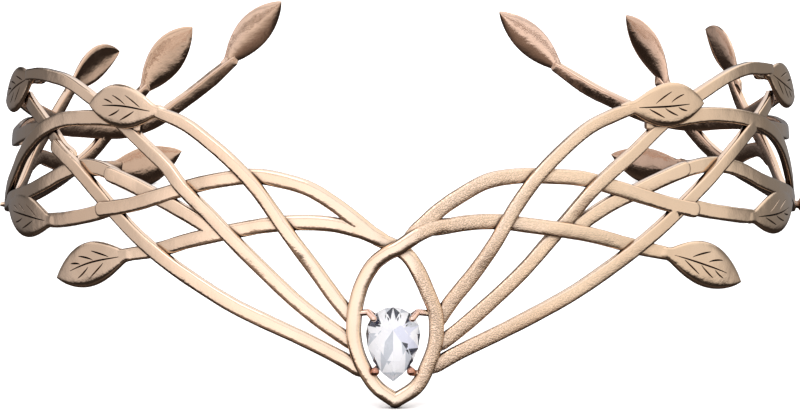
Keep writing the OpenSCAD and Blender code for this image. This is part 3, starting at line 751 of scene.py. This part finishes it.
def scaled(tree, tint, amount):
    tint = tint if isinstance(tint, bpy.types.NodeSocket) else tint[:3]
    return add(tree, "ShaderNodeVectorMath", {0: tint, "Scale": amount}, operation="SCALE").outputs[0]


def axes(tree, place):
    return add(tree, "ShaderNodeSeparateXYZ", {0: place}).outputs


def ramp(tree, value, low, high, to_low=0.0, to_high=1.0):
    """A soft step from one number to another between two values."""
    inputs = {"Value": value, "From Min": low, "From Max": high, "To Min": to_low, "To Max": to_high}
    return add(tree, "ShaderNodeMapRange", inputs, interpolation_type="SMOOTHSTEP").outputs[0]


def fade(tree, value, low, high):
    """A soft step from all to nothing."""
    return ramp(tree, value, low, high, 1, 0)


def noise(tree, place, scale, detail=2.0, stretch=None):
    if stretch:
        place = add(tree, "ShaderNodeMapping", {"Vector": place, "Scale": stretch}).outputs[0]
    return add(tree, "ShaderNodeTexNoise", {"Vector": place, "Scale": scale, "Detail": detail}).outputs[0]


def new_material(name):
    """A material, its tree, its shader and the object's own coordinates, in metres."""
    material = bpy.data.materials.new(name)
    material.use_nodes = True
    tree = material.node_tree
    shader = tree.nodes["Principled BSDF"]
    place = add(tree, "ShaderNodeTexCoord").outputs["Object"]
    return material, tree, shader, place


def set_base_and_roughness(tree, shader, base, roughness):
    tree.links.new(base, shader.inputs["Base Color"])
    tree.links.new(roughness, shader.inputs["Roughness"])


def set_relief(tree, shader, height, strength, depth):
    """Fine relief in the surface, with its depth in metres."""
    bump = add(tree, "ShaderNodeBump", {"Height": height, "Strength": strength, "Distance": depth})
    tree.links.new(bump.outputs[0], shader.inputs["Normal"])


# Colours of the plate, of the painted shade on its inner faces and edge walls, of its pits, and of the
# painted shade in its joints
PLATE, DEEP_PLATE = colour(0.90, 0.71, 0.545), colour(0.84, 0.64, 0.475)
INNER_SHADE_PLATE, EDGE_SHADE = colour(0.69, 0.50, 0.385), colour(0.12, 0.07, 0.05)
PIT, CREVICE_SHADE, CREVICE_REACH = colour(0.5, 0.32, 0.2), colour(0.075, 0.042, 0.03), 0.0012
# Claw tints, in metres: place beside the stone's middle, reach that it fades over, colour. The upper claws
# are pinker, and the lower beads' dark brown is painted shade.
CLAW_SPOTS = (
    ((0.0044, 0, 0.0172), 0.0015, 0.0019, colour(0.85, 0.61, 0.51)),
    ((0.0034, 0, 0.0073), 0.00095, 0.0012, colour(0.55, 0.28, 0.2)))


def plate_by_facing(tree, place):
    """Colour of the plate in slow patches, with painted shade: bronze on inner faces, and dark on the edge
    walls, most where they face down.
    """
    patches = ramp(tree, noise(tree, place, 45, 3), 0.35, 0.65)
    facing = add(tree, "ShaderNodeNewGeometry").outputs["Normal"]
    from_middle = vector(tree, "NORMALIZE", vector(tree, "MULTIPLY", place, (1, 1, 0)))
    outside = vector(tree, "DOT_PRODUCT", facing, from_middle)
    # Painted shade on the edge walls, darkest where they face down
    edge_wall_shade = product(
        tree, fade(tree, outside, 0.1, 0.4), ramp(tree, outside, -0.5, -0.2),
        ramp(tree, axes(tree, facing)[2], 0.2, 0.6, 0.8, 0.15))
    plate = mix(tree, patches, PLATE, DEEP_PLATE)
    # Painted shade: the inner faces turn to a darker bronze
    plate = mix(tree, ramp(tree, outside, -0.5, 0), INNER_SHADE_PLATE, plate)
    return mix(tree, edge_wall_shade, plate, EDGE_SHADE)


# Tints the claws: pinker on the upper claws, and painted shade on the lower beads
def with_claw_tints_and_shade(tree, place, plate):
    across, back, up = axes(tree, place)
    aside = number(tree, "ABSOLUTE", number(tree, "ADD", across, wall(STONE_ANGLE, 0, 0)[0] * -MM))
    beside_stone = add(tree, "ShaderNodeCombineXYZ", {0: aside, 2: up}).outputs[0]
    for spot, near, far, claw_tint_and_shade in CLAW_SPOTS:
        reach = vector(tree, "DISTANCE", beside_stone, spot)
        at_front = product(tree, fade(tree, reach, near, far), ramp(tree, back, -0.07, -0.075))
        plate = mix(tree, at_front, plate, claw_tint_and_shade)
    return plate


def rose_gold():
    """Satin rose-gold plate: brushed and rippled, pitted on the right front, with painted shade in its
    joints.
    """
    material, tree, shader, place = new_material("rose_gold_plate")
    across, back = axes(tree, place)[:2]
    pits = ramp(tree, noise(tree, place, 4200, 1), 0.42, 0.6)
    stipple = product(
        tree, pits, ramp(tree, across, 0.002, 0.004), ramp(tree, across, 0.01, 0.03, 1, 0.35),
        ramp(tree, back, -0.06, -0.07))
    plate = with_claw_tints_and_shade(tree, place, plate_by_facing(tree, place))
    plate = mix(tree, product(tree, stipple, 0.32), plate, PIT)
    # Painted shade in the creases and joints, where the occlusion is high
    occlusion = add(tree, "ShaderNodeAmbientOcclusion", {"Distance": CREVICE_REACH}, samples=6)
    plate = mix(tree, ramp(tree, occlusion.outputs["AO"], 0.4, 0.95), CREVICE_SHADE, plate)
    shine = ramp(tree, noise(tree, place, 180, 3), 0.3, 0.7, 0.08, 0.16)
    set_base_and_roughness(tree, shader, plate, shine)
    shader.inputs["Metallic"].default_value = 1

    height = noise(tree, place, 1500, 2)
    brushed, ripple = noise(tree, place, 1, 2, (150, 150, 1100)), noise(tree, place, 260, 1)
    for relief, share in ((brushed, 0.5), (stipple, 1.3), (ripple, 4.5)):
        height = number(tree, "MULTIPLY_ADD", relief, share, height)
    set_relief(tree, shader, height, 0.5, 0.00005)
    return material


def crystal():
    """Clear cut glass, with faint polishing marks."""
    material, tree, shader, place = new_material("clear_crystal")
    tint = mix(tree, noise(tree, place, 160), colour(1, 1, 1), colour(0.975, 0.98, 1))
    set_base_and_roughness(tree, shader, tint, ramp(tree, noise(tree, place, 700), 0.3, 0.7, 0.0, 0.02))
    shader.inputs["Transmission Weight"].default_value = 1
    shader.inputs["IOR"].default_value = 1.56
    set_relief(tree, shader, noise(tree, place, 500), 0.05, 0.00002)
    return material


def painted_facet_reflection(name, pale, deep):
    """Back of the stone's pavilion in one tone, which paints a reflection of the room."""
    material, tree, shader, place = new_material(name)
    tint = mix(tree, noise(tree, place, 200), pale, deep)
    set_base_and_roughness(tree, shader, tint, ramp(tree, noise(tree, place, 600), 0.3, 0.7, 0.2, 0.3))
    set_relief(tree, shader, noise(tree, place, 900), 0.1, 0.00002)
    return material


# Tones of the stone's back, painted reflections of the room: lit and shaded copies of one silvering, and
# near-black ones for dark flecks. For each main facet from the top clockwise, the tones of itself and of its
# two girdle facets, the strip beside the girdle first
PAINTED_REFLECTION_TONES = (
    ("white_painted_reflection", colour(1, 1, 1), colour(0.98, 0.98, 1)),
    ("lavender_painted_reflection", colour(0.80, 0.82, 0.93), colour(0.74, 0.76, 0.88)),
    ("grey_painted_reflection", colour(0.66, 0.69, 0.73), colour(0.58, 0.61, 0.66)),
    ("dark_painted_reflection", colour(0.02, 0.022, 0.045), colour(0.008, 0.01, 0.025)))
FACET_PAINTED_REFLECTIONS = (
    (1, 1, 4, 3, 1), (1, 3, 4, 1, 3), (2, 3, 1, 4, 1), (2, 1, 4, 4, 3), (1, 3, 1, 3, 1),
    (3, 4, 1, 3, 1), (1, 4, 3, 4, 1), (1, 4, 4, 3, 4), (1, 1, 1, 3, 4))
# Facets of the stone that belong to each main, after the table, and the first of them at the back
FACETS_PER_MAIN, FIRST_AT_BACK = 11, 6


def build_stone():
    stone = mesh_object("crystal_pear", [pear_stone()])
    stone.data.materials.clear()
    stone.data.materials.append(crystal())
    for name, pale, deep in PAINTED_REFLECTION_TONES:
        stone.data.materials.append(painted_facet_reflection(name, pale, deep))
    # Each facet of the back gets its tone of painted reflection
    for k, (main, *girdle) in enumerate(FACET_PAINTED_REFLECTIONS):
        for place, tone in enumerate(girdle + [main], start=FIRST_AT_BACK):
            stone.data.polygons[1 + FACETS_PER_MAIN * k + place].material_index = tone
    return stone


# Half size of the floor in metres, and the colours of the room's light
FLOOR_HALF = 3
LIGHT_LEFT, LIGHT_MIDDLE = colour(1, 0.93, 0.91), colour(0.98, 0.98, 1.03)
LIGHT_RIGHT, LIGHT_LOW = colour(1, 0.94, 0.87), colour(1, 0.78, 0.66)
# Lamps, in metres and watts: (name, place, size, power, seen in reflections)
LAMPS = (
    ("key", (-0.55, -0.7, 0.95), 0.6, 1.2, True),
    ("top", (0, 0, 1.3), 1.2, 17, False))
LAMP_AIM = (0, 0, 0.02)
# Camera: its place and aim in metres, and its sensor and focal length in millimetres
CAMERA_AT, CAMERA_AIM = (0.0001, -0.860, 0.26565), (0, 0.004, 0.01365)
SENSOR_W, FOCAL_LENGTH = 36, 200.25


def build_floor():
    """A pale floor, which isn't seen in reflections."""
    mesh = bpy.data.meshes.new("floor")
    corners = [(x * FLOOR_HALF, y * FLOOR_HALF, 0) for x, y in ((-1, -1), (1, -1), (1, 1), (-1, 1))]
    mesh.from_pydata(corners, [], [(0, 1, 2, 3)])
    floor = new_object("floor", mesh)
    material, tree, shader, place = new_material("pale_floor")
    tint = mix(tree, noise(tree, place, 6), colour(0.93, 0.93, 0.93), colour(0.9, 0.9, 0.9))
    tree.links.new(tint, shader.inputs["Base Color"])
    shader.inputs["Roughness"].default_value = 0.9
    shader.inputs["Specular IOR Level"].default_value = 0.1
    mesh.materials.append(material)
    floor.visible_glossy = False


def darkened(tree, bright, amount, *masks):
    """The light with an amount of it taken away where every mask is full."""
    return product(tree, bright, number(tree, "MULTIPLY_ADD", product(tree, *masks), -amount, 1))


def upper_room(tree, x, y, z):
    """Light from above the floor line: brightest in front on the left, and even overhead."""
    left, right = ramp(tree, y, -0.9, 0.1, 1.42, 0.66), ramp(tree, y, -0.9, 0.1, 1.2, 0.85)
    bright = ramp(tree, z, 0.1, 0.6, ramp(tree, x, -0.15, 0.25, left, right), 1.25)
    # A thin darker line in front, the far side, the upper left, and the left corner behind
    bright = darkened(
        tree, bright, 0.3, ramp(tree, z, 0.22, 0.28), fade(tree, z, 0.36, 0.42), fade(tree, y, -0.5, -0.2))
    far_from = ramp(tree, x, -0.2, 0.2, 0.3, 0.15)
    bright = darkened(tree, bright, 0.72, ramp(tree, y, far_from, 0.65), fade(tree, z, 0.05, 0.25))
    bright = darkened(
        tree, bright, 0.85, fade(tree, x, -0.5, -0.3), ramp(tree, y, 0, 0.2), ramp(tree, z, 0.35, 0.45))
    bright = darkened(
        tree, bright, 0.85, ramp(tree, y, 0.65, 0.85), fade(tree, x, -0.4, -0.15),
        ramp(tree, z, -0.15, 0.05), fade(tree, z, 0.3, 0.5))
    tint = mix(tree, ramp(tree, x, -0.8, 0), LIGHT_LEFT, LIGHT_MIDDLE)
    tint = mix(tree, ramp(tree, x, 0, 0.8), tint, LIGHT_RIGHT)
    return scaled(tree, tint, bright)


def lower_room(tree, x, y, z):
    """Dim warm light from below the floor line: most in front, a little aside of the middle."""
    aside = number(tree, "ABSOLUTE", x)
    front = ramp(tree, aside, 0.7, 0.85, ramp(tree, aside, 0.35, 0.6, 0.1, 0.3), 0.03)
    return scaled(tree, LIGHT_LOW, ramp(tree, z, -0.75, -0.45, 0.04, ramp(tree, y, -0.2, 0.6, front, 0.03)))


def build_room():
    """The room's light by direction: pale above a floor line, and dim and warm below it."""
    world = bpy.data.worlds.new("room")
    bpy.context.scene.world = world
    world.use_nodes = True
    tree = world.node_tree
    x, y, z = axes(tree, add(tree, "ShaderNodeTexCoord").outputs["Generated"])
    right_front = product(tree, ramp(tree, x, -0.2, 0.2), fade(tree, y, -0.5, -0.1))
    floor_line = ramp(
        tree, z, ramp(tree, right_front, 0, 1, -0.37, -0.47), ramp(tree, right_front, 0, 1, -0.25, -0.08))
    light = mix(tree, floor_line, lower_room(tree, x, y, z), upper_room(tree, x, y, z))
    tree.links.new(light, tree.nodes["Background"].inputs["Color"])
    tree.nodes["Background"].inputs["Strength"].default_value = 1


def aim(thing, at):
    thing.rotation_euler = (Vector(at) - thing.location).to_track_quat("-Z", "Y").to_euler()


def build_lamps():
    """Soft lamps at the upper left and above."""
    for name, place, size, power, seen in LAMPS:
        light = bpy.data.lights.new(name, "AREA")
        light.shape = "DISK"
        light.size = size
        light.energy = power
        lamp = new_object(name, light)
        lamp.location = place
        lamp.visible_glossy = seen
        aim(lamp, LAMP_AIM)


def build_camera():
    camera = bpy.data.cameras.new("camera")
    camera.sensor_width, camera.lens = SENSOR_W, FOCAL_LENGTH
    camera.clip_start, camera.clip_end = 0.05, 20
    view = new_object("camera", camera)
    view.location = CAMERA_AT
    aim(view, CAMERA_AIM)
    bpy.context.scene.camera = view
    bpy.context.scene.view_settings.view_transform = "Standard"


metal = build_metal()
metal.data.materials.append(rose_gold())
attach(metal, "root")
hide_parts("leaf_frame")

stone = build_stone()
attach(stone, "root")
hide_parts("pear_stone")

build_floor()
build_room()
build_lamps()
build_camera()
